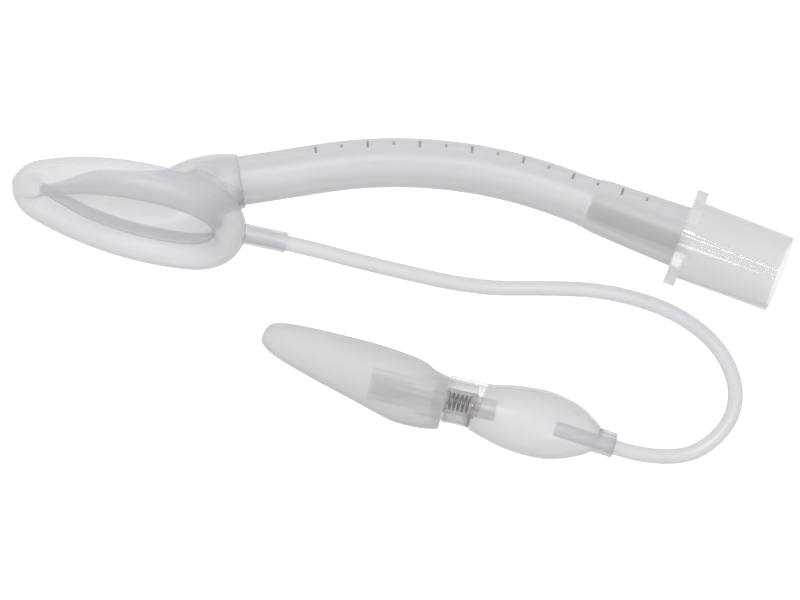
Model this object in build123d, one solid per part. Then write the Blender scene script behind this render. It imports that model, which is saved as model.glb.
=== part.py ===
from build123d import *
import math
import os

# Laryngeal mask airway, infant size, lying on its side on a table. Millimetres, +Z up.
# The origin is on the table, under the middle of mask, airway tube and connector.

# Cuff: an inflated ring whose plan is an egg of three tangent arcs. Its section is an oval,
# given by its half height across the ring's plane and its half width in it.
cuff_length = 40.5  # tip to heel, along the middle of the ring's section
cuff_tip_arc = 4.4
cuff_side_arc = 39.0
cuff_heel_arc = 10.2
cuff_tip_height, cuff_tip_width = 3.0, 2.9
cuff_mid_height, cuff_mid_width = 3.9, 2.95
cuff_heel_height, cuff_heel_width = 4.05, 2.85
cuff_wall = 0.7

# How the mask lies: it leans back on one side of its cuff, its heel towards the tube
mask_heel_x = -33.26
mask_heel_y = -1.82
mask_turn = 12.5  # long axis, degrees below +X
mask_roll = 32.0  # lean of the ring's plane from upright

# Bowl behind the cuff, with the neck that takes the tube
bowl_wall = 1.5
bowl_lip = 0.5  # how far the rim stands inside the cuff
bowl_rim_front = 0.6  # rim, in front of the ring's middle plane
bowl_end_gap = 0.4  # hollow to the rim's two ends
bowl_depths = [2.4, 3.8, 5.4, 7.3, 11.6, 15.4]  # of the hollow, at even stations from the tip
bowl_straight = 0.3  # share of that depth that its side walls run straight, before the floor
neck_heel_gap = 0.6  # from the neck's end to the heel, along the mask
neck_depth = 12.2  # of the neck's end, behind the ring's plane
neck_side = -0.4  # off the mask's middle plane, away from the table
neck_end_radius = 5.3
neck_swell_radius = 6.0
neck_swell_back = 7.5  # from the neck's end back to its thickest place
neck_root_radius = 4.6
neck_root_back = 14.0
neck_toe_radius = 2.5  # where it runs out in the bowl's floor
neck_toe_back = 17.5
bore_entry = 1.5  # of the airway bore past the tube's end, into the bowl

# Airway tube
tube_radius = 4.85
tube_bore_radius = 3.05
tube_bend_radius = 90.0
tube_corner_x = 8.8  # where its two straight ends would meet
tube_corner_y = 15.0
tube_bow = 0.75  # the corner lies this far under the bent tube
socket_depth = 9.0
bond_gap = 0.03

# Connector: 15 mm cone, flange and the stem that the tube is pushed over
flange_x = 54.5
flange_y = -2.5
flange_thickness = 2.2
flange_radius = 8.6
flange_ear = 9.55  # reach of its two ears
flange_ear_half = 3.6
flange_step = 1.0
flange_step_place = 2.3
flange_flat_end = 5.4
cone_length = 18.3
cone_mouth_radius = 7.61
cone_taper = 1 / 40  # on the diameter
cone_bore_radius = 5.75
cone_bore_length = 12.0
stem_length = 18.8
stem_tip_radius = 3.5
stem_root_radius = 4.2
stem_bore_radius = 2.9
stem_lead = 0.6  # of the tube's bore, where the stem begins to stretch it
flare_wall = 1.85
flare_run = 2.5

# Line to the cuff, in its sleeve, and its route
line_radius = 1.5
line_bore_radius = 0.75
line_gap = 0.05
sleeve_radius = 2.0
sleeve_length = 7.9
line_route = [
    (-30.2, -2.1, 12.05), (-19.9, -4.3, 11.0), (-5.9, -8.0, 7.8), (14.7, -12.6, 2.6),
    (29.1, -12.5, 1.62), (40.2, -13.0, 1.6), (50.8, -15.8, 1.6), (58.2, -19.7, 1.6),
    (63.8, -25.1, 1.6), (66.7, -31.8, 1.6), (66.0, -38.2, 1.6), (61.8, -43.4, 1.62),
    (56.2, -46.2, 1.8), (47.5, -45.8, 3.0), (38.8, -43.0, 4.2), (30.4, -40.3, 4.9),
]

# Pilot balloon: place, width and height of its sections, from the valve to the line
balloon_film = 0.5
balloon_neck_radius = 4.35
balloon_neck_length = 5.4
balloon_sections = [
    ((17.4, -37.15, 4.8), 10.4, 9.2), ((22.3, -38.5, 4.8), 12.4, 9.4),
    ((28.3, -39.95, 4.75), 12.8, 9.3), ((33.2, -41.15, 4.65), 10.6, 8.2),
    ((36.8, -42.25, 4.5), 6.9, 6.4),
]
tail_collar_radius = 2.2
tail_collar_length = 3.7
tail_collar_place = 0.4  # from the last bend of the line, along its end

# Inflation valve, along its own axis from the mouth of the syringe port
valve_x = -6.4
valve_y = -31.3
valve_z = 4.8
valve_turn = 12.5
port_radius = 3.15
port_length = 9.95
port_bore_radius = 2.1
port_bore_length = 5.4
port_waist_radius = 1.9  # narrower behind the bore, where the plunger's tip stands
port_waist_length = 3.2
port_lip = 0.25
port_lip_length = 0.8
throat_radius = 1.0
body_radius = 4.1
body_length = 11.35
seat_place = 12.7
seat_cone = 0.8
chamber_radius = 2.5
tail_radius = 2.1
tail_length = 4.2
tail_bore_radius = 1.0
tail_flange = 0.8
seal_radius = 1.6
seal_thickness = 2.3
seat_gap = 0.1
plunger_radius = 0.75
plunger_reach = 6.8  # stem in front of the seal
plunger_head_radius = 2.1
plunger_head = 0.6
plunger_guide = 1.2
spring_radius = 1.65
spring_wire = 0.2
spring_coils = 5

# Vent cap: a soft tongue that slips over the port. Place, heading, width and height.
cap_wall = 0.7
cap_root = 15.1  # its open end, from the port's mouth
cap_clearance = 0.1
cap_shoulder_gap = 0.4
cap_balloon_gap = 0.4
cap_sections = [
    ((8.3, -35.3, 4.9), 8.0, 10.5, 9.5), ((4.5, -34.3, 4.9), 12.5, 12.1, 9.3),
    ((0.6, -32.6, 4.85), 19.0, 13.5, 9.2), ((-6.3, -29.6, 4.6), 21.7, 12.4, 8.9),
    ((-14.3, -26.5, 3.7), 21.7, 10.4, 6.8), ((-21.25, -23.85, 3.0), 21.7, 8.2, 5.0),
    ((-25.05, -22.4, 2.6), 21.7, 6.3, 3.9), ((-26.9, -21.75, 2.4), 21.7, 4.2, 2.9),
    ((-27.5, -21.5, 2.35), 21.7, 2.2, 1.6),
]
cap_hollow_sections = 6


def egg_arcs():
    """Centre of the side arc, and the directions in which it meets the end arcs."""
    tip = Vector(cuff_tip_arc, 0)
    heel = Vector(cuff_length - cuff_heel_arc, 0)
    span = heel.X - tip.X
    to_tip, to_heel = cuff_side_arc - cuff_tip_arc, cuff_side_arc - cuff_heel_arc
    along = (span**2 + to_tip**2 - to_heel**2) / (2 * span)
    centre = Vector(tip.X + along, -math.sqrt(to_tip**2 - along**2))
    return centre, [(end - centre).normalized() for end in (tip, heel)]


def egg_half():
    """Half the ring's middle line, from the tip to the heel."""
    centre, (first, second) = egg_arcs()
    tip = Vector(cuff_tip_arc, 0)
    heel = Vector(cuff_length - cuff_heel_arc, 0)
    tip_mid = tip + (first + Vector(-1, 0)).normalized() * cuff_tip_arc
    heel_mid = heel + (second + Vector(1, 0)).normalized() * cuff_heel_arc
    side_mid = centre + (first + second).normalized() * cuff_side_arc
    first, second = [centre + way * cuff_side_arc for way in (first, second)]
    return [
        ThreePointArc((0, 0), tip_mid, first),
        ThreePointArc(first, side_mid, second),
        ThreePointArc(second, heel_mid, (cuff_length, 0)),
    ]


def half_width(station, inset):
    """Half width of the egg at a station along the mask, the egg drawn inset."""
    centre, (first, second) = egg_arcs()
    side = cuff_side_arc - inset
    if station < (centre + first * side).X:
        return math.sqrt((cuff_tip_arc - inset) ** 2 - (station - cuff_tip_arc) ** 2)
    if station > (centre + second * side).X:
        heel = cuff_length - cuff_heel_arc
        return math.sqrt((cuff_heel_arc - inset) ** 2 - (station - heel) ** 2)
    return centre.Y + math.sqrt(side**2 - (station - centre.X) ** 2)


def ring(inset):
    """The cuff's ring, its section smaller all round by the inset."""
    mid = (cuff_mid_height, cuff_mid_width)
    ovals = [(cuff_tip_height, cuff_tip_width), mid, mid, (cuff_heel_height, cuff_heel_width)]
    half = Part()
    for arc, start, end in zip(egg_half(), ovals, ovals[1:]):
        sections = [
            Plane(arc @ t, x_dir=(0, 0, 1), z_dir=arc % t) * Ellipse(height - inset, width - inset)
            for t, (height, width) in ((0, start), (1, end))
        ]
        half += sweep(sections, path=arc, multisection=True)
    return half + mirror(half, Plane.XZ)


def heading(degrees):
    """Level direction, degrees below +X as the table is seen from above."""
    angle = math.radians(degrees)
    return Vector(math.cos(angle), -math.sin(angle), 0)


def mask_plane(lift):
    """Tip of the ring's middle line, with X to the heel and Z to the mask's back."""
    along, roll = heading(mask_turn), math.radians(mask_roll)
    back = heading(mask_turn - 90) * math.cos(roll) - Vector(0, 0, math.sin(roll))
    tip = Vector(mask_heel_x, mask_heel_y, lift) - along * cuff_length
    return Plane(origin=tip, x_dir=along, z_dir=back)


def bowl_form(extra, opening):
    """The bowl's outside or its hollow: U sections that deepen towards the heel."""
    inset = cuff_mid_width + bowl_lip
    start, end = inset + bowl_end_gap, cuff_length - inset - bowl_end_gap
    faces = []
    for i, depth in enumerate(bowl_depths):
        share = i / (len(bowl_depths) - 1)
        x = start + (end - start) * share
        w, low = half_width(x, inset) + extra, depth * bowl_straight
        place = (x + extra * (2 * share - 1), 0, -bowl_rim_front)
        plane = Plane(origin=place, x_dir=(0, 1, 0), z_dir=(1, 0, 0))
        floor = EllipticalCenterArc((0, low), w, depth - low + extra, start_angle=0, arc_size=180)
        rim = Polyline((-w, low), (-w, -opening), (w, -opening), (w, low))
        faces.append(plane * make_face([floor, rim]))
    return loft(faces)


def turned(profile, start, way):
    """A piece revolved about an axis: its profile is (distance, radius) points."""
    face = make_face(Polyline(*[(r, 0, d) for d, r in profile], close=True))
    return Plane(origin=start, z_dir=way) * revolve(face, Axis.Z)


def rod(radius, start, way, near, far):
    return turned([(near, 0), (near, radius), (far, radius), (far, 0)], start, way)


def largest_arcs(points, share=0.45):
    """Radius at each corner of a route: as large as the shorter run beside it allows."""
    radii = []
    for before, here, after in zip(points, points[1:], points[2:]):
        first, second = here - before, after - here
        run = min(first.length, second.length)
        half_turn = math.radians(first.get_angle(second)) / 2
        radii.append(share * run / math.tan(half_turn))
    return radii


def swept(path, radius):
    return sweep(Plane(path @ 0, z_dir=path % 0) * Circle(radius), path=path)


def mask_bowl():
    """Bowl and tube neck in one moulding, bonded inside the ring."""
    back = -inward
    swell = [
        Plane(neck_end + back * d, z_dir=inward) * Circle(r)
        for d, r in (
            (neck_toe_back, neck_toe_radius),
            (neck_root_back, neck_root_radius),
            (neck_swell_back, neck_swell_radius),
            (0, neck_end_radius),
        )
    ]
    body = mask * bowl_form(bowl_wall, 0) + loft(swell)
    body -= mask * bowl_form(0, 1)
    body -= rod(tube_radius + bond_gap, neck_end, back, -1, socket_depth)
    body -= rod(tube_bore_radius, neck_end, back, 0, socket_depth + bore_entry)
    return body - cuff_solid


def airway_tube():
    """The tube from its socket in the neck to the flange, stretched over the stem."""
    start = neck_end - inward * (socket_depth - bond_gap)
    flare_start = flange - outward * (stem_length + stem_lead)
    path = FilletPolyline(start, corner, flare_start, radius=tube_bend_radius)
    body = swept(path, tube_radius) - swept(path, tube_bore_radius)
    tip, root = stem_tip_radius + bond_gap, stem_root_radius + bond_gap
    end = stem_lead + stem_length - bond_gap
    body += turned(
        [
            (0, tube_bore_radius), (0, tube_radius), (flare_run, tip + flare_wall),
            (end, root + flare_wall), (end, root), (stem_lead, tip),
        ],
        flare_start,
        outward,
    )
    return body


def flange_plate():
    """The grip flange: a disc with an ear each side and a step beside each ear."""
    r, low = flange_radius, flange_radius - flange_step
    turn_in = math.sqrt(r**2 - flange_step_place**2)
    ear, half = flange_ear, flange_ear_half
    middle = (r * math.cos(math.radians(-50)), r * math.sin(math.radians(-50)))
    side = [
        Polyline(
            (flange_step_place, turn_in), (flange_step_place, low), (flange_flat_end, low),
            (ear, half), (ear, -half / 2),
        ),
        Line((ear, -half / 2), (math.sqrt(r**2 - half**2), -half)),
        ThreePointArc((math.sqrt(r**2 - half**2), -half), middle, (-flange_step_place, -turn_in)),
    ]
    other = [edge.rotate(Axis.Z, 180) for edge in side]
    plate = extrude(make_face(side + other), flange_thickness)
    return Plane(origin=flange, x_dir=(-outward.Y, outward.X, 0), z_dir=outward) * plate


def airway_connector():
    """15 mm cone, flange and stem in one moulding."""
    end = flange_thickness + cone_length
    root = cone_mouth_radius + cone_length * cone_taper / 2
    shoulder = end - cone_bore_length
    body = turned(
        [
            (-stem_length, stem_bore_radius), (-stem_length, stem_tip_radius),
            (0, stem_root_radius), (0, root), (flange_thickness, root),
            (end, cone_mouth_radius), (end, cone_bore_radius), (shoulder, cone_bore_radius),
            (flange_thickness, stem_bore_radius),
        ],
        flange,
        outward,
    )
    hole = rod(root, flange, outward, -1, flange_thickness + 1)
    return body + (flange_plate() - hole)


def line_sleeve():
    """Short sleeve bonded in the cuff's heel, round the line."""
    start, way = line_points[0], (line_points[1] - line_points[0]).normalized()
    body = rod(sleeve_radius, start, way, -cuff_heel_width, sleeve_length)
    return body - cuff_solid - line_hole


def valve_body():
    """Clear housing: syringe port, shoulder, seat and the spring's chamber."""
    end = port_length + body_length
    waist_end = port_bore_length + port_waist_length
    return turned(
        [
            (0, port_bore_radius), (0, port_radius + port_lip),
            (port_lip_length, port_radius + port_lip),
            (port_lip_length + port_lip, port_radius), (port_length, port_radius),
            (port_length, body_radius), (end, body_radius), (end, chamber_radius),
            (seat_place, chamber_radius), (seat_place, throat_radius + seat_cone / 2),
            (seat_place - seat_cone, throat_radius), (waist_end, throat_radius),
            (waist_end, port_waist_radius), (port_bore_length, port_waist_radius),
            (port_bore_length, port_bore_radius),
        ],
        port,
        valve_way,
    )


def valve_tail():
    """Plug that holds the spring, with the stub that opens into the balloon."""
    end = port_length + body_length
    inside = chamber_radius - bond_gap
    return turned(
        [
            (end - tail_flange, tail_bore_radius), (end - tail_flange, inside), (end, inside),
            (end + bond_gap, inside), (end + bond_gap, tail_radius + 0.5),
            (end + 0.5, tail_radius), (end + tail_length, tail_radius),
            (end + tail_length, tail_bore_radius),
        ],
        port,
        valve_way,
    )


def valve_seal():
    near = seat_place + seat_gap
    groove = plunger_radius + bond_gap
    return turned(
        [
            (near, groove), (near, seal_radius - 0.4), (near + 0.4, seal_radius),
            (near + seal_thickness, seal_radius), (near + seal_thickness, groove),
        ],
        port,
        valve_way,
    )


def valve_plunger():
    """Stem that a syringe pushes, with the head behind the seal."""
    head = seat_place + seat_gap + seal_thickness + bond_gap
    tip = seat_place - plunger_reach
    guide = head + plunger_head + plunger_guide
    return turned(
        [
            (tip, 0), (tip, plunger_radius - 0.25), (tip + 0.25, plunger_radius),
            (head, plunger_radius), (head, plunger_head_radius),
            (head + plunger_head, plunger_head_radius), (head + plunger_head, plunger_radius),
            (guide, plunger_radius), (guide, 0),
        ],
        port,
        valve_way,
    )


def valve_spring():
    """Open coil between the plunger's head and the tail plug."""
    near = seat_place + seat_gap + seal_thickness + bond_gap + plunger_head + spring_wire + bond_gap
    far = port_length + body_length - tail_flange - spring_wire - bond_gap
    coil = Helix(pitch=(far - near) / spring_coils, height=far - near, radius=spring_radius)
    section = Plane(coil @ 0, z_dir=coil % 0) * RegularPolygon(spring_wire, 6)
    wire = sweep(section, path=coil, is_frenet=True)
    return Plane(origin=port + valve_way * near, z_dir=valve_way) * wire


def oval_loft(sections, inset):
    """Loft through upright ovals: (place, direction, width, height)."""
    faces = []
    for place, way, width, height in sections:
        plane = Plane(origin=place, x_dir=Vector(-way.Y, way.X, 0), z_dir=way)
        faces.append(plane * Ellipse(width / 2 - inset, height / 2 - inset))
    return loft(faces)


def pilot_balloon():
    """Film balloon with a neck on the valve and a collar welded round the line."""
    near = cap_root + cap_balloon_gap
    shoulder = port + valve_way * (near + balloon_neck_length)
    tail = line_points[-2] - line_way * tail_collar_place
    places = [Vector(*place) for place, _, _ in balloon_sections] + [tail]
    ovals = [(shoulder, valve_way, 2 * balloon_neck_radius, 2 * balloon_neck_radius)]
    for place, onward, (_, width, height) in zip(places, places[1:], balloon_sections):
        ovals.append((place, (onward - shoulder).normalized(), width, height))
    ovals.append((tail, line_way, 2 * tail_collar_radius, 2 * tail_collar_radius))
    body = oval_loft(ovals, 0) - oval_loft(ovals, balloon_film)
    body += rod(balloon_neck_radius, port, valve_way, near, near + balloon_neck_length)
    body += rod(tail_collar_radius, tail, line_way, 0, tail_collar_length)
    body -= rod(body_radius + bond_gap, port, valve_way, cap_root, port_length + body_length + bond_gap)
    return body - line_hole


def valve_cap():
    """Soft tongue, hollow round the port, open where it meets the balloon's neck."""
    ovals = []
    for place, turn, width, height in cap_sections:
        ovals.append((Vector(*place), heading(turn), width, height))
    body = oval_loft(ovals, 0) - oval_loft(ovals[1:cap_hollow_sections], cap_wall)
    bore = body_radius + cap_clearance
    return body - rod(bore, port, valve_way, port_length - cap_shoulder_gap, cap_root + 1)


def pilot_line():
    tube = swept(line_path, line_radius) - swept(line_path, line_bore_radius)
    area = math.pi * (line_radius**2 - line_bore_radius**2)
    print("line radii", [round(radius, 1) for radius in line_radii])
    print("line length", round(line_path.length, 1))
    print("line volume", round(tube.volume, 2), "expected", round(area * line_path.length, 2))
    return tube


def write(name, solid):
    solid = solid.solids()[0] if len(solid.solids()) == 1 else solid
    export_step(solid, f"parts/{name}.step")
    box = solid.bounding_box()
    print(name, len(solid.solids()), round(solid.volume, 1), "z from", round(box.min.Z, 2))


# Where things lie, worked out from the sizes
cuff_local = ring(0)
mask_lift = -(mask_plane(0) * cuff_local).bounding_box().min.Z
mask = mask_plane(mask_lift)
cuff_solid = mask * cuff_local
neck_end = mask.from_local_coords(Vector(cuff_length - neck_heel_gap, neck_side, neck_depth))
corner = Vector(tube_corner_x, tube_corner_y, tube_radius - tube_bow)
flange = Vector(flange_x, flange_y, flange_radius)
inward = (corner - neck_end).normalized()
outward = (flange - corner).normalized()
line_points = [Vector(*point) for point in line_route]
line_radii = largest_arcs(line_points)
line_path = FilletPolyline(*line_points, radius=line_radii)
line_hole = swept(line_path, line_radius + line_gap)
line_way = (line_points[-2] - line_points[-1]).normalized()
valve_way = heading(valve_turn)
port = Vector(valve_x, valve_y, valve_z)

os.makedirs("parts", exist_ok=True)
write("cuff", cuff_solid - mask * ring(cuff_wall))
write("mask_bowl", mask_bowl())
write("airway_tube", airway_tube())
write("airway_connector", airway_connector())
write("line_sleeve", line_sleeve())
write("pilot_line", pilot_line())
write("pilot_balloon", pilot_balloon())
write("valve_body", valve_body())
write("valve_tail", valve_tail())
write("valve_seal", valve_seal())
write("valve_plunger", valve_plunger())
write("valve_spring", valve_spring())
write("valve_cap", valve_cap())
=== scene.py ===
import bpy
import math
import numpy as np
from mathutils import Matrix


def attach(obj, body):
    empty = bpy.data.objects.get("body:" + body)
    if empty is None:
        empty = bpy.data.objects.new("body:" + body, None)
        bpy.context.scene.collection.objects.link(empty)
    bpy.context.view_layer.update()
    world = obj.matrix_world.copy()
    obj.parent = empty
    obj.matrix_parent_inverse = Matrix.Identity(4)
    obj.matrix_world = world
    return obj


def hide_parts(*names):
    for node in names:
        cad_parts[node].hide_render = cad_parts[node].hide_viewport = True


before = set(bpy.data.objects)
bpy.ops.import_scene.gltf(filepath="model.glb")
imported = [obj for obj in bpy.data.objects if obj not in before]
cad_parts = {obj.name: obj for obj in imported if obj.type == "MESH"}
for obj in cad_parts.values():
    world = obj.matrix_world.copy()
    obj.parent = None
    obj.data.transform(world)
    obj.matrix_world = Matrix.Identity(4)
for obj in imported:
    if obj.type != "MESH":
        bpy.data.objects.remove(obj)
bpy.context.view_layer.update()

# Sizes below are in millimetres, as a maker would give them, and mm turns them into metres.
mm = 0.001
tableUp = np.array([0.0, 0.0, 1.0])


def unit(vector):
    vector = np.asarray(vector, dtype=float)
    return vector / np.linalg.norm(vector, axis=-1, keepdims=True)


def heading(degrees):  # level direction, degrees below +X seen from above
    angle = np.radians(degrees)
    return np.stack([np.cos(angle), -np.sin(angle), np.zeros_like(angle)], axis=-1)


# Cubic through the rows, evenly in row number: each span blends its two rows with the mean
# slopes there, as weights of the cubic Hermite form.
def smoothRows(rows, count):
    rows = np.asarray(rows, dtype=float)
    slopes = np.gradient(rows, axis=0)
    place = np.linspace(0, len(rows) - 1, count)
    i = np.minimum(place.astype(int), len(rows) - 2)
    t = (place - i)[:, None]
    a, b, u, v = rows[i], rows[i + 1], slopes[i], slopes[i + 1]
    return (
        a * (2 * t**3 - 3 * t**2 + 1) + u * (t**3 - 2 * t**2 + t)
        + b * (3 * t**2 - 2 * t**3) + v * (t**3 - t**2)
    )


def shadeSmooth(mesh):
    mesh.polygons.foreach_set("use_smooth", np.full(len(mesh.polygons), True))


def newPiece(name, data):
    piece = bpy.data.objects.new(name, data)
    bpy.context.scene.collection.objects.link(piece)
    return piece


# Rows of the grid run along the piece and its columns go round it, where the direction round,
# crossed with the direction along, points out of the piece. A pole closes the first or the last
# end at the mean of its row, a loop joins the last row to the first, and kept says which of the
# bands between the rows are made.
def gridPiece(name, grid, loop=False, poles=(False, False), kept=None):
    rows, columns = grid.shape[:2]
    points = grid.reshape(-1, 3)
    i = np.arange(rows if loop else rows - 1)[:, None] * columns
    onward = (i + columns) % (rows * columns)
    j = np.arange(columns)[None, :]
    k = (j + 1) % columns
    quads = np.stack([i + j, i + k, onward + k, onward + j], axis=-1)
    if kept is not None:
        quads = quads[kept]
    faces = quads.reshape(-1, 4).tolist()
    ring = np.arange(columns)
    end = (rows - 1) * columns
    if poles[0]:
        middle = np.full(columns, len(points))
        points = np.concatenate([points, grid[:1].mean(axis=1)])
        faces += np.stack([middle, (ring + 1) % columns, ring], axis=-1).tolist()
    if poles[1]:
        middle = np.full(columns, len(points))
        points = np.concatenate([points, grid[-1:].mean(axis=1)])
        faces += np.stack([middle, end + ring, end + (ring + 1) % columns], axis=-1).tolist()
    mesh = bpy.data.meshes.new(name)
    mesh.from_pydata((points * mm).tolist(), [], faces)
    shadeSmooth(mesh)
    return newPiece(name, mesh)


# Circle carried along a path: path point plus radius times the cosine of the angle along the
# level side and its sine along the third direction.
def sweptGrid(path, radii, columns):
    along = unit(np.gradient(path, axis=0))
    side = unit(np.cross(along, tableUp))
    third = np.cross(along, side)
    angle = np.linspace(0, 2 * np.pi, columns, endpoint=False)[None, :, None]
    spokes = np.cos(angle) * side[:, None] + np.sin(angle) * third[:, None]
    return path[:, None] + np.asarray(radii)[:, None, None] * spokes


# Camera: straight above the table, at the photograph's distance and crop
cameraSettings = {
    "over": (-0.4, -14.9), "height": 430.0, "lens": 96.75, "sensor": 36.0, "clip": (0.01, 10.0),
}


def addCamera(settings):
    data = bpy.data.cameras.new("camera")
    data.lens = settings["lens"]
    data.sensor_width = settings["sensor"]
    data.clip_start, data.clip_end = settings["clip"]
    camera = newPiece("camera", data)
    camera.location = (settings["over"][0] * mm, settings["over"][1] * mm, settings["height"] * mm)
    bpy.context.scene.camera = camera


addCamera(cameraSettings)
print("camera placed")


# Materials
def newMaterial(name):
    material = bpy.data.materials.new(name)
    material.use_nodes = True
    tree = material.node_tree
    return material, tree, tree.nodes["Principled BSDF"]


def addNode(tree, kind, **values):
    node = tree.nodes.new(kind)
    for key, value in values.items():
        if hasattr(node, key) and not key[0].isupper():
            setattr(node, key, value)
        else:
            node.inputs[key.replace("_", " ")].default_value = value
    return node


# Result of a node that works on sockets and plain values alike
def worked(tree, operation, *values, kind="ShaderNodeMath", result=0):
    node = addNode(tree, kind, operation=operation)
    for socket, value in zip(node.inputs, values):
        if hasattr(value, "is_linked"):
            tree.links.new(value, socket)
        else:
            socket.default_value = value
    return node.outputs[result]


# Noise over the piece's own place, as a bump laid over the one before
def addBump(tree, scale, detail, strength, depth, before=None):
    place = addNode(tree, "ShaderNodeTexCoord")
    noise = addNode(tree, "ShaderNodeTexNoise", Scale=scale, Detail=detail)
    bump = addNode(tree, "ShaderNodeBump", Strength=strength, Distance=depth * mm)
    tree.links.new(place.outputs["Object"], noise.inputs["Vector"])
    tree.links.new(noise.outputs["Fac"], bump.inputs["Height"])
    if before is not None:
        tree.links.new(before, bump.inputs["Normal"])
    return bump.outputs["Normal"]


# Scales are in noise cells a metre, and depth is the height of the bumps
plastic = {
    "edgeBlend": 0.2, "lampsThrough": 0.96, "cloudScale": 140.0, "cloudDetail": 3.0,
    "cloudRoughness": 0.55, "waveScale": 180.0, "frostScale": 2600.0, "bumpDetail": 2.0, "depth": 0.1,
}
solid = {"scale": 900.0, "detail": 3.0, "strength": 0.15, "depth": 0.05}


# Milky see-through plastic. clear is how much one wall hides where it faces the eye, and edge
# where it is seen along the wall. Such plastic scatters light rather than stopping it, so lamps
# reach through each wall with only a small loss. cloud varies the colour softly, frost is the
# strength of a fine frosting and waves that of the slow unevenness of dipped or blown vinyl.
def milky(name, color, clear, edge, roughness, cloud=0.0, frost=0.0, waves=0.0, ior=1.5):
    material, tree, shader = newMaterial(name)
    link = tree.links.new
    shader.inputs["Base Color"].default_value = (*color, 1)
    shader.inputs["Roughness"].default_value = roughness
    shader.inputs["IOR"].default_value = ior
    facing = addNode(tree, "ShaderNodeLayerWeight", Blend=plastic["edgeBlend"])
    opacity = addNode(tree, "ShaderNodeMapRange")
    opacity.inputs["To Min"].default_value = clear
    opacity.inputs["To Max"].default_value = edge
    link(facing.outputs["Facing"], opacity.inputs["Value"])
    link(opacity.outputs["Result"], shader.inputs["Alpha"])
    if cloud:
        place = addNode(tree, "ShaderNodeTexCoord")
        noise = addNode(
            tree, "ShaderNodeTexNoise", Scale=plastic["cloudScale"], Detail=plastic["cloudDetail"],
            Roughness=plastic["cloudRoughness"],
        )
        mix = addNode(tree, "ShaderNodeMix", data_type="RGBA")
        mix.inputs["A"].default_value = (*[c * (1 - cloud) for c in color], 1)
        mix.inputs["B"].default_value = (*[min(1, c * (1 + cloud)) for c in color], 1)
        link(place.outputs["Object"], noise.inputs["Vector"])
        link(noise.outputs["Fac"], mix.inputs["Factor"])
        link(mix.outputs["Result"], shader.inputs["Base Color"])
    normal = None
    for strength, scale in ((waves, plastic["waveScale"]), (frost, plastic["frostScale"])):
        if strength:
            normal = addBump(tree, scale, plastic["bumpDetail"], strength, plastic["depth"], normal)
    if normal is not None:
        link(normal, shader.inputs["Normal"])
    path = addNode(tree, "ShaderNodeLightPath")
    through = addNode(tree, "ShaderNodeBsdfTransparent")
    through.inputs["Color"].default_value = (plastic["lampsThrough"],) * 3 + (1,)
    either = addNode(tree, "ShaderNodeMixShader")
    link(path.outputs["Is Shadow Ray"], either.inputs["Fac"])
    link(shader.outputs[0], either.inputs[1])
    link(through.outputs[0], either.inputs[2])
    link(either.outputs[0], tree.nodes["Material Output"].inputs["Surface"])
    return material


def solidFinish(name, color, roughness, metallic=0.0):
    material, tree, shader = newMaterial(name)
    shader.inputs["Base Color"].default_value = (*color, 1)
    shader.inputs["Roughness"].default_value = roughness
    shader.inputs["Metallic"].default_value = metallic
    normal = addBump(tree, solid["scale"], solid["detail"], solid["strength"], solid["depth"])
    tree.links.new(normal, shader.inputs["Normal"])
    return material


finish = {
    "cuff": milky("cuffVinyl", (0.62, 0.605, 0.64), 0.46, 0.90, 0.40, cloud=0.02, frost=0.06, waves=0.3),
    "bowl": milky("bowlVinyl", (0.61, 0.59, 0.625), 0.44, 0.68, 0.36, cloud=0.02, frost=0.08, waves=0.2),
    "neck": milky("neckVinyl", (0.64, 0.615, 0.65), 0.58, 0.85, 0.34, cloud=0.02, frost=0.08, waves=0.2),
    "tube": milky("tubeVinyl", (0.58, 0.56, 0.595), 0.52, 0.95, 0.38, cloud=0.03, frost=0.05, waves=0.3),
    "tubeInside": milky("tubeVinylInside", (0.60, 0.58, 0.615), 0.05, 0.25, 0.30),
    "line": milky("lineVinyl", (0.60, 0.60, 0.63), 0.50, 0.80, 0.26, cloud=0.02, waves=0.2),
    "sleeve": milky("sleeveVinyl", (0.68, 0.68, 0.71), 0.45, 0.80, 0.30, cloud=0.02, waves=0.2),
    "balloon": milky("balloonFilm", (0.575, 0.565, 0.595), 0.46, 0.95, 0.24, cloud=0.02, waves=0.6),
    "balloonNeck": milky("balloonNeckFilm", (0.585, 0.575, 0.60), 0.08, 0.90, 0.20, waves=0.3),
    "cap": milky("capVinyl", (0.605, 0.585, 0.61), 0.62, 0.95, 0.50, cloud=0.03, frost=0.2),
    "capInside": milky("capVinylInside", (0.585, 0.565, 0.59), 0.05, 0.30, 0.50),
    "connector": milky("connectorPlastic", (0.53, 0.525, 0.555), 0.42, 0.98, 0.06, ior=1.9),
    "valve": milky("valvePlastic", (0.56, 0.545, 0.57), 0.07, 0.90, 0.06, ior=2.2),
    "tail": milky("tailPlastic", (0.56, 0.50, 0.53), 0.30, 0.80, 0.2),
    "seal": solidFinish("sealRubber", (0.09, 0.075, 0.08), 0.6),
    "plunger": solidFinish("plungerPlastic", (0.42, 0.39, 0.41), 0.4),
    "spring": solidFinish("springWire", (0.10, 0.09, 0.09), 0.35, 0.6),
}
print("materials made")


# Faces take the finish at their number in the list, or the first where none are given
def paint(piece, kinds, numbers=None):
    piece.data.materials.clear()
    for kind in kinds:
        piece.data.materials.append(finish[kind])
    if numbers is not None:
        piece.data.polygons.foreach_set("material_index", numbers.astype(np.int32))


def dress(piece, body, node):
    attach(piece, body)
    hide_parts(node)


def paintNode(node, kind):
    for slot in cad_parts[node].material_slots:
        slot.material = finish[kind]


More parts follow.
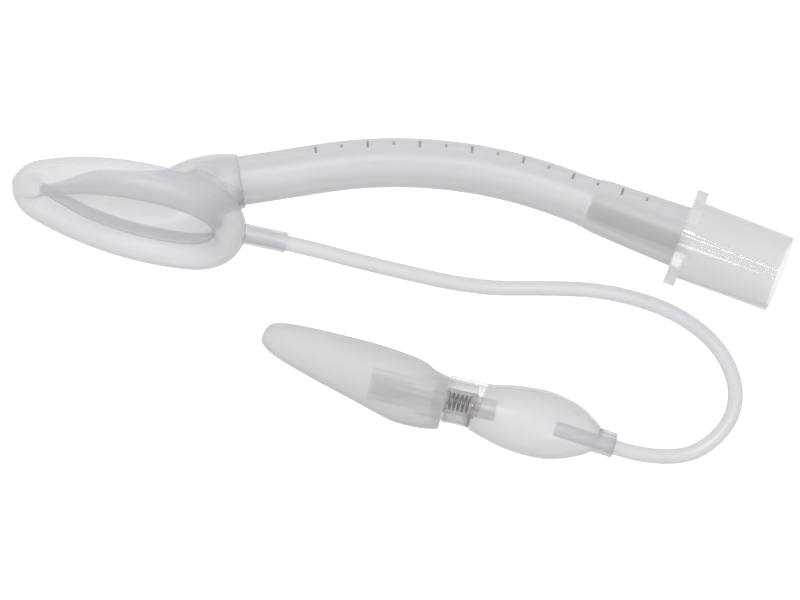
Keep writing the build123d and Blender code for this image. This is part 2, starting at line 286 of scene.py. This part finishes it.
# Mask: a ring that leans back on one side, its tip to the left
maskPlace = {"tip": (-72.8, 6.946, 12.404), "turn": 12.5, "roll": 32.0}
cuff = {
    "length": 40.5, "tipArc": 4.4, "sideArc": 39.0, "heelArc": 10.2,
    "tip": (3.0, 2.9), "mid": (3.9, 2.95), "heel": (4.05, 2.85),  # half height and half width
    "seamHeight": 0.16, "seamWidth": 0.06, "rows": 240, "columns": 144,
}


def maskAxes():
    turn, roll = np.radians(maskPlace["turn"]), np.radians(maskPlace["roll"])
    along = heading(maskPlace["turn"])
    level = np.array([math.sin(turn), math.cos(turn), 0.0])
    back = level * math.cos(roll) - tableUp * math.sin(roll)
    return np.array(maskPlace["tip"]), along, np.cross(back, along), back


# Mask place to table place: origin plus each coordinate times its own direction.
def fromMask(points):
    origin, along, side, back = maskAxes()
    return origin + points[..., :1] * along + points[..., 1:2] * side + points[..., 2:] * back


# Half the egg from tip to heel: three tangent arcs, evenly by length. Gives the points, the
# outward directions and the share of the way through each end arc (0 tip, 1 side, 2 heel).
def eggLine(egg, count):
    tip, side, heel, length = egg["tipArc"], egg["sideArc"], egg["heelArc"], egg["length"]
    span = length - tip - heel
    toTip, toHeel = side - tip, side - heel
    along = (span**2 + toTip**2 - toHeel**2) / (2 * span)
    centre = np.array([tip + along, -math.sqrt(toTip**2 - along**2)])
    first = np.arctan2(-centre[1], tip - centre[0])
    second = np.arctan2(-centre[1], length - heel - centre[0])
    arcs = np.array([(np.pi - first) * tip, (first - second) * side, second * heel])
    s = np.linspace(0, arcs.sum(), count)
    onTip, onHeel = s < arcs[0], s > arcs[0] + arcs[1]
    angle = np.where(
        onTip, np.pi - s / tip,
        np.where(onHeel, (arcs.sum() - s) / heel, first - (s - arcs[0]) / side),
    )
    x = np.where(onTip, tip, np.where(onHeel, length - heel, centre[0]))
    y = np.where(onTip | onHeel, 0.0, centre[1])
    radius = np.where(onTip, tip, np.where(onHeel, heel, side))
    out = np.stack([np.cos(angle), np.sin(angle)], axis=-1)
    line = np.stack([x, y], axis=-1) + radius[:, None] * out
    share = np.where(onTip, s / arcs[0], np.where(onHeel, 1 + (s - arcs[0] - arcs[1]) / arcs[2], 1.0))
    return line, out, share


# Ring point plus half width times the cosine of the angle outwards and half height times its
# sine towards the back, raised at the moulding seam by a bell curve of the angle from it.
def makeCuff(settings):
    line, out, share = eggLine(settings, settings["rows"] // 2 + 1)
    flip = np.array([1.0, -1.0])
    line = np.concatenate([line, line[-2:0:-1] * flip])
    out = np.concatenate([out, out[-2:0:-1] * flip])
    share = np.concatenate([share, share[-2:0:-1]])
    stops = [0, 1, 2]
    tall, wide = [
        np.interp(share, stops, [settings[key][i] for key in ("tip", "mid", "heel")])[:, None]
        for i in (0, 1)
    ]
    angle = np.linspace(0, 2 * np.pi, settings["columns"], endpoint=False)[None, :]
    fromSeam = np.minimum(angle, 2 * np.pi - angle)
    seam = settings["seamHeight"] * np.exp(-((fromSeam / settings["seamWidth"]) ** 2))
    reach = wide * np.cos(angle) + seam
    grid = np.empty((len(line), angle.size, 3))
    grid[..., :2] = line[:, None] + out[:, None] * reach[..., None]
    grid[..., 2] = tall * np.sin(angle)
    return gridPiece("cuff_ring", fromMask(grid), loop=True)


cuffRing = makeCuff(cuff)
paint(cuffRing, ["cuff"])
dress(cuffRing, "airway", "cuff")
print("cuff made")


# Bowl: the moulded back of the mask with the tube's neck, softened from its solid
bowl = {
    "weld": 0.01, "voxel": 0.28, "relax": 0.5, "smoothing": 12,
    "tipRun": (4.0, 13.0), "tipDepth": 0.15, "neckFrom": 8.0,
}


def softened(node, name, settings):
    piece = newPiece(name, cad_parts[node].data.copy())
    bpy.context.view_layer.objects.active = piece
    piece.select_set(True)
    weld = piece.modifiers.new("weld", "WELD")
    weld.merge_threshold = settings["weld"] * mm
    remesh = piece.modifiers.new("remesh", "REMESH")
    remesh.mode = "VOXEL"
    remesh.voxel_size = settings["voxel"] * mm
    relax = piece.modifiers.new("relax", "SMOOTH")
    relax.factor = settings["relax"]
    relax.iterations = settings["smoothing"]
    evaluated = piece.evaluated_get(bpy.context.evaluated_depsgraph_get())
    mesh = bpy.data.meshes.new_from_object(evaluated)
    piece.modifiers.clear()
    piece.data = mesh
    shadeSmooth(mesh)
    piece.select_set(False)
    return piece


# Depth towards the back shrinks from its whole at the end of the run to a share at the tip, as a
# smooth step, so that the bowl comes to a thin edge inside the cuff.
def thinnedTip(piece, settings):
    mesh = piece.data
    points = np.empty(len(mesh.vertices) * 3)
    mesh.vertices.foreach_get("co", points)
    origin, along, _, back = maskAxes()
    local = points.reshape(-1, 3) / mm - origin
    near, far = settings["tipRun"]
    t = np.clip((local @ along - near) / (far - near), 0, 1)
    share = settings["tipDepth"] + (1 - settings["tipDepth"]) * t * t * (3 - 2 * t)
    local += np.outer((share - 1) * (local @ back), back)
    mesh.vertices.foreach_set("co", ((local + origin) * mm).ravel())


# The neck is thicker, so it hides more: its faces are those far enough back on the mask
def paintNeck(piece, settings):
    centres = np.empty(len(piece.data.polygons) * 3)
    piece.data.polygons.foreach_get("center", centres)
    origin, _, _, back = maskAxes()
    depth = (centres.reshape(-1, 3) / mm - origin) @ back
    paint(piece, ["bowl", "neck"], depth > settings["neckFrom"])


bowlShell = softened("mask_bowl", "bowl_shell", bowl)
thinnedTip(bowlShell, bowl)
paintNeck(bowlShell, bowl)
dress(bowlShell, "airway", "mask_bowl")
print("bowl made")


# Airway tube: one bend, pushed over the connector's stem, which stretches its end. inNeck is how far
# its skin is drawn into the neck, and lumenPast how far its lumen is drawn in there and over the stem.
tube = {
    "neckEnd": (-31.56, 8.62, 6.28), "corner": (8.8, 15.0, 4.1), "flange": (54.5, -2.5, 8.6),
    "bend": 90.0, "radius": 4.85, "bore": 3.05, "socket": 9.0, "inNeck": 1.5, "lumenPast": 0.5,
    "stem": 19.4, "stemTip": 3.53, "stemRoot": 4.23, "lead": 0.6, "flareWall": 1.85, "flareRun": 2.5,
    "easeRows": 9, "rows": 260, "columns": 96,
}


# Two straight runs joined by a tangent arc, evenly by length: each arc point is the arc's centre
# plus the radius turned from the first run's normal.
def bentPath(start, corner, end, radius, count):
    start, corner, end = [np.asarray(p, dtype=float) for p in (start, corner, end)]
    first, second = unit(corner - start), unit(end - corner)
    turn = np.arccos(np.dot(first, second))
    back = radius * math.tan(turn / 2)
    leave = corner - first * back
    inside = unit(second - first * np.dot(first, second))
    centre = leave + inside * radius
    straight = np.linalg.norm(leave - start)
    arc = radius * turn
    rest = np.linalg.norm(end - corner) - back
    s = np.linspace(0, straight + arc + rest, count)
    a = np.clip((s - straight) / radius, 0, turn)[:, None]
    onArc = centre + radius * (np.sin(a) * first - np.cos(a) * inside)
    before = np.minimum(s - straight, 0)[:, None] * first
    after = np.maximum(s - straight - arc, 0)[:, None] * second
    return onArc + before + after, s


# Outside and lumen: a circle carried along the bend, whose radius grows over the stem, softened by
# the mean of a few rows, and back again through the bore. The skin is left out deep in the neck,
# and the lumen in the neck and over the stem, whose own walls lie there. The map holds the share of
# the way round and the millimetres along, which are below nought in the lumen.
def makeTube(settings):
    neckEnd, corner, flange = [np.array(settings[key]) for key in ("neckEnd", "corner", "flange")]
    socket, stem, wall, ease = [settings[key] for key in ("socket", "stem", "flareWall", "easeRows")]
    start = neckEnd - unit(corner - neckEnd) * socket
    path, s = bentPath(start, corner, flange, settings["bend"], settings["rows"])
    fromEnd = s[-1] - s
    outer = np.interp(
        fromEnd, [0, stem - settings["flareRun"], stem],
        [settings["stemRoot"] + wall, settings["stemTip"] + wall, settings["radius"]],
    )
    outer = np.convolve(np.pad(outer, ease // 2, mode="edge"), np.ones(ease) / ease, mode="valid")
    inner = np.interp(
        fromEnd, [0, stem - settings["lead"], stem],
        [settings["stemRoot"], settings["stemTip"], settings["bore"]],
    )
    columns = settings["columns"]
    grid = np.concatenate([sweptGrid(path, outer, columns), sweptGrid(path, inner, columns)[::-1]])
    skinBands = (s > socket - settings["inNeck"]) & (s < s[-1])
    lumenBands = (s > socket - settings["lumenPast"]) & (fromEnd > stem - settings["lumenPast"])
    kept = np.concatenate([skinBands, lumenBands[::-1]])
    piece = gridPiece("tube_wall", grid, loop=True, kept=kept)
    inLumen = np.arange(len(piece.data.polygons)) >= np.count_nonzero(skinBands) * columns
    paint(piece, ["tube", "tubeInside"], inLumen)
    around = np.tile([0, 1, 1, 0], (columns, 1)) + np.arange(columns)[:, None]
    along = np.concatenate([s, -1 - s[::-1]])
    rows = np.arange(len(along))
    onward = (rows + 1) % len(rows)
    chart = np.empty((len(rows), columns, 4, 2))
    chart[..., 0] = around / columns
    chart[..., 1] = along[np.stack([rows, rows, onward, onward], axis=-1)][:, None]
    layer = piece.data.uv_layers.new(name="tubeMap")
    layer.data.foreach_set("uv", chart[kept].ravel())
    return piece


# Plain depth ticks along part of the tube, line millimetres wide: short ones and, at twice the
# spacing, long ones. middle is their place in the way round, and short and long their reach to
# each side of it, as shares of the way round.
ticks = {
    "first": 24.0, "last": 92.0, "spacing": 5.0, "line": 0.45, "middle": 0.615, "short": 0.016,
    "long": 0.034, "color": (0.16, 0.15, 0.16), "hides": 0.9,
}


def printTicks(material, settings):
    tree = material.node_tree
    link = tree.links.new
    shader = tree.nodes["Principled BSDF"]
    chart = addNode(tree, "ShaderNodeUVMap", uv_map="tubeMap")
    parts = addNode(tree, "ShaderNodeSeparateXYZ")
    link(chart.outputs["UV"], parts.inputs[0])
    around, along = parts.outputs["X"], parts.outputs["Y"]
    off = worked(tree, "ABSOLUTE", worked(tree, "SUBTRACT", around, settings["middle"]))
    run = worked(tree, "SUBTRACT", along, settings["first"])
    marks = []
    for steps, reach in ((1, settings["short"]), (2, settings["long"])):
        place = worked(tree, "MODULO", run, steps * settings["spacing"])
        inLine = worked(tree, "LESS_THAN", place, settings["line"])
        marks.append(worked(tree, "MULTIPLY", inLine, worked(tree, "LESS_THAN", off, reach)))
    begun = worked(tree, "GREATER_THAN", along, settings["first"])
    inside = worked(tree, "MULTIPLY", begun, worked(tree, "LESS_THAN", along, settings["last"]))
    inked = worked(tree, "MULTIPLY", worked(tree, "MAXIMUM", *marks), inside)
    ink = worked(tree, "MULTIPLY", inked, settings["hides"])
    mix = addNode(tree, "ShaderNodeMix", data_type="RGBA")
    link(ink, mix.inputs["Factor"])
    link(shader.inputs["Base Color"].links[0].from_socket, mix.inputs["A"])
    mix.inputs["B"].default_value = (*settings["color"], 1)
    link(mix.outputs["Result"], shader.inputs["Base Color"])
    alpha = shader.inputs["Alpha"]
    link(worked(tree, "MAXIMUM", alpha.links[0].from_socket, ink), alpha)


tubeWall = makeTube(tube)
printTicks(finish["tube"], ticks)
dress(tubeWall, "airway", "airway_tube")
print("tube made")


# Line to the cuff: its route's points, as in the solid
lineSettings = {
    "diameter": 3.0, "length": 152.5, "steps": 12, "roundness": 6,
    "route": [
        (-30.2, -2.1, 12.05), (-19.9, -4.3, 11.0), (-5.9, -8.0, 7.8), (14.7, -12.6, 2.6),
        (29.1, -12.5, 1.62), (40.2, -13.0, 1.6), (50.8, -15.8, 1.6), (58.2, -19.7, 1.6),
        (63.8, -25.1, 1.6), (66.7, -31.8, 1.6), (66.0, -38.2, 1.6), (61.8, -43.4, 1.62),
        (56.2, -46.2, 1.8), (47.5, -45.8, 3.0), (38.8, -43.0, 4.2), (30.4, -40.3, 4.9),
    ],
}


def makeLine(settings):
    data = bpy.data.curves.new("inflation_line", "CURVE")
    data.dimensions = "3D"
    data.resolution_u = settings["steps"]
    data.bevel_depth = settings["diameter"] / 2 * mm
    data.bevel_resolution = settings["roundness"]
    data.use_fill_caps = True
    spline = data.splines.new("NURBS")
    spline.points.add(len(settings["route"]) - 1)
    for point, place in zip(spline.points, settings["route"]):
        point.co = (*[v * mm for v in place], 1)
    spline.order_u = 3
    spline.use_endpoint_u = True
    return newPiece("inflation_line", data)


line = makeLine(lineSettings)
paint(line, ["line"])
dress(line, "airway", "pilot_line")
paintNode("line_sleeve", "sleeve")
print("line made")


# Balloon: film round the line's end and the valve, with its welded seam. A narrower lip, a hair
# before the neck, rims the open end, and the collar begins a little behind the line's last point
# but one. The first clearRows are clear film over the valve.
valvePlace = {"port": (-6.4, -31.3, 4.8), "turn": 12.5}
balloon = {
    "neckNear": 15.5, "neckFar": 20.9, "neckRadius": 4.35, "neckRows": 3,
    "lipRadius": 4.14, "lipBack": 0.01,
    "ovals": [  # place, width and height
        (17.4, -37.15, 4.8, 10.4, 9.2), (22.3, -38.5, 4.8, 12.4, 9.4), (28.3, -39.95, 4.75, 12.8, 9.3),
        (33.2, -41.15, 4.65, 10.6, 8.2), (36.8, -42.25, 4.5, 6.9, 6.4),
    ],
    "collarRadius": 2.2, "collarLength": 3.7, "collarRows": 3, "collarBack": 0.4, "clearRows": 10,
    "seam": 0.55, "seamWidth": 0.06, "rows": 120, "columns": 192,
}


# Upright ovals through rows of (place, width, height), headed along the level part of the way:
# place plus half the width times the cosine along the level side and half the height times the
# sine upwards. The seam stands out at mid height on the side where the cosine is below nought, by
# a bell curve of the sine.
def ovalGrid(rows, columns, seam=0.0, seamWidth=0.1):
    centre, wide, tall = rows[:, :3], rows[:, 3, None] / 2, rows[:, 4, None] / 2
    along = unit(np.gradient(centre, axis=0) * np.array([1.0, 1.0, 0.0]))
    side = np.cross(along, tableUp)
    up = np.cross(along, side)
    angle = np.linspace(0, 2 * np.pi, columns, endpoint=False)[None, :]
    fromSeam = np.abs(np.sin(angle)) + (np.cos(angle) > 0)
    fin = seam * np.exp(-((fromSeam / seamWidth) ** 2))
    reach = wide * np.cos(angle) + np.sign(np.cos(angle)) * fin
    lift = tall * np.sin(angle)
    return centre[:, None] + reach[..., None] * side[:, None] + lift[..., None] * up[:, None]


def makeBalloon(settings):
    port, way = np.array(valvePlace["port"]), heading(valvePlace["turn"])
    route = np.array(lineSettings["route"])
    out = unit(route[-2] - route[-1])
    tail = route[-2] - out * settings["collarBack"]
    width, lipWidth, collar = [2 * settings[key] for key in ("neckRadius", "lipRadius", "collarRadius")]
    neckPlaces = np.linspace(settings["neckNear"], settings["neckFar"], settings["neckRows"])
    neck = [[*(port + way * d), width, width] for d in neckPlaces]
    lip = [[*(port + way * (settings["neckNear"] - settings["lipBack"])), lipWidth, lipWidth]]
    collarPlaces = np.linspace(0, settings["collarLength"], settings["collarRows"])
    end = [[*(tail + out * d), collar, collar] for d in collarPlaces]
    ovals = [list(oval) for oval in settings["ovals"]]
    body = smoothRows(neck[-1:] + ovals + end[:1], settings["rows"])
    rows = np.concatenate([lip, neck[:-1], body, end[1:]])
    grid = ovalGrid(rows, settings["columns"], settings["seam"], settings["seamWidth"])
    piece = gridPiece("balloon_film", grid, poles=(False, True))
    clear = np.arange(len(piece.data.polygons)) < settings["clearRows"] * settings["columns"]
    paint(piece, ["balloon", "balloonNeck"], clear)
    return piece


balloonFilm = makeBalloon(balloon)
dress(balloonFilm, "airway", "pilot_balloon")
print("balloon made")


# The clear moulding bends light so that its bore can't be made out: inside the given radius the
# walls hide only a share of what the outside does. Distance from the axis is the length of the
# cross product of the offset and the direction.
connectorAxis = {
    "flange": tube["flange"], "way": (0.929948, -0.356107, 0.09157), "radius": 6.6, "share": 0.04,
}


def fadeNearAxis(material, settings):
    tree = material.node_tree
    alpha = tree.nodes["Principled BSDF"].inputs["Alpha"]
    place = addNode(tree, "ShaderNodeTexCoord").outputs["Object"]
    flange = [v * mm for v in settings["flange"]]
    vectors = "ShaderNodeVectorMath"
    offset = worked(tree, "SUBTRACT", place, flange, kind=vectors)
    across = worked(tree, "CROSS_PRODUCT", offset, settings["way"], kind=vectors)
    distance = worked(tree, "LENGTH", across, kind=vectors, result="Value")
    share = addNode(tree, "ShaderNodeMapRange")
    share.inputs["To Min"].default_value = settings["share"]
    far = worked(tree, "GREATER_THAN", distance, settings["radius"] * mm)
    tree.links.new(far, share.inputs["Value"])
    faded = worked(tree, "MULTIPLY", alpha.links[0].from_socket, share.outputs["Result"])
    tree.links.new(faded, alpha)


fadeNearAxis(finish["connector"], connectorAxis)

for node, kind in {
    "airway_connector": "connector", "valve_body": "valve", "valve_tail": "tail",
    "valve_seal": "seal", "valve_plunger": "plunger", "valve_spring": "spring",
}.items():
    paintNode(node, kind)

# Cap: a soft tongue over the port, hollow and open at its root. The hollow follows the first few
# ovals, and only the rows of it that the opening shows are made.
cap = {
    "ovals": [  # place, width and height
        (8.3, -35.3, 4.9, 10.5, 9.5), (4.5, -34.3, 4.9, 12.1, 9.3), (0.6, -32.6, 4.85, 13.5, 9.2),
        (-6.3, -29.6, 4.6, 12.4, 8.9), (-14.3, -26.5, 3.7, 10.4, 6.8), (-21.25, -23.85, 3.0, 8.2, 5.0),
        (-25.05, -22.4, 2.6, 6.3, 3.9), (-26.9, -21.75, 2.4, 4.2, 2.9), (-27.5, -21.5, 2.35, 2.2, 1.6),
    ],
    "wall": 0.7, "hollowOvals": 5, "wallRows": 8, "rows": 110, "columns": 96,
}


# The hollow's ovals head the other way, so their columns are turned back to follow the outside's
def makeCap(settings):
    columns, wall = settings["columns"], settings["wall"]
    outer = ovalGrid(smoothRows(settings["ovals"][::-1], settings["rows"]), columns)
    hollow = smoothRows(settings["ovals"][: settings["hollowOvals"]], settings["rows"] // 2)
    inside = ovalGrid(hollow + [0, 0, 0, -2 * wall, -2 * wall], columns)[: settings["wallRows"], ::-1]
    inside = np.roll(inside, columns // 2 + 1, axis=1)
    piece = gridPiece("cap_tongue", np.concatenate([outer, inside]), poles=(True, False))
    faces = np.arange(len(piece.data.polygons))
    inHollow = (faces >= len(outer) * columns) & (faces < len(faces) - columns)
    paint(piece, ["cap", "capInside"], inHollow)
    return piece


capTongue = makeCap(cap)
dress(capTongue, "cap", "valve_cap")
print("cap made")

# Table, light and background. The key is a soft lamp to one side, and the strip a long narrow
# one almost overhead, which draws the thin bright lines along the clear plastic.
light = {
    "world": 0.52, "table": 0.90, "tableSize": 6.0, "tableRoughness": 0.9, "lift": 0.36,
    "key": 4.6, "keyPlace": (-0.05, 0.36, 1.0), "keySize": 0.3,
    "strip": 1.2, "stripPlace": (0.02, 0.07, 1.0), "stripSize": (0.9, 0.02),
}


# 1 for what the eye sees straight, mirrored or through glass, 0 for light that falls on things
def seenDirectly(tree):
    path = addNode(tree, "ShaderNodeLightPath")
    seen = path.outputs["Is Camera Ray"]
    for kind in ("Is Glossy Ray", "Is Transmission Ray"):
        seen = worked(tree, "MAXIMUM", seen, path.outputs[kind])
    return seen


# White table: plain white to the eye, darkened only where the piece shades it
def addTable(settings):
    bpy.ops.mesh.primitive_plane_add(size=settings["tableSize"])
    table = bpy.context.object
    table.name = "table"
    material, tree, shader = newMaterial("tableWhite")
    shader.inputs["Base Color"].default_value = (settings["table"],) * 3 + (1,)
    shader.inputs["Roughness"].default_value = settings["tableRoughness"]
    shader.inputs["Specular IOR Level"].default_value = 0.0
    glow = addNode(tree, "ShaderNodeEmission")
    both = addNode(tree, "ShaderNodeAddShader")
    lift = worked(tree, "MULTIPLY", seenDirectly(tree), settings["lift"])
    tree.links.new(lift, glow.inputs["Strength"])
    tree.links.new(shader.outputs[0], both.inputs[0])
    tree.links.new(glow.outputs[0], both.inputs[1])
    tree.links.new(both.outputs[0], tree.nodes["Material Output"].inputs["Surface"])
    table.data.materials.append(material)


def addLamp(name, place, energy, size):
    data = bpy.data.lights.new(name, "AREA")
    data.shape = "RECTANGLE"
    data.size, data.size_y = size
    data.energy = energy
    lamp = newPiece(name, data)
    lamp.location = place
    lamp.rotation_euler = (-lamp.location).to_track_quat("-Z", "Y").to_euler()


def addLight(settings):
    world = bpy.data.worlds.new("studio")
    bpy.context.scene.world = world
    world.use_nodes = True
    tree = world.node_tree
    seen = tree.nodes["Background"]
    seen.inputs["Color"].default_value = (1, 1, 1, 1)
    lit = addNode(tree, "ShaderNodeBackground", Strength=settings["world"])
    lit.inputs["Color"].default_value = (1, 1, 1, 1)
    mix = addNode(tree, "ShaderNodeMixShader")
    tree.links.new(seenDirectly(tree), mix.inputs["Fac"])
    tree.links.new(lit.outputs[0], mix.inputs[1])
    tree.links.new(seen.outputs[0], mix.inputs[2])
    tree.links.new(mix.outputs[0], tree.nodes["World Output"].inputs["Surface"])
    addLamp("key", settings["keyPlace"], settings["key"], (settings["keySize"], settings["keySize"]))
    addLamp("strip", settings["stripPlace"], settings["strip"], settings["stripSize"])


addTable(light)
addLight(light)
bpy.context.scene.view_settings.view_transform = "Standard"
print("light set")
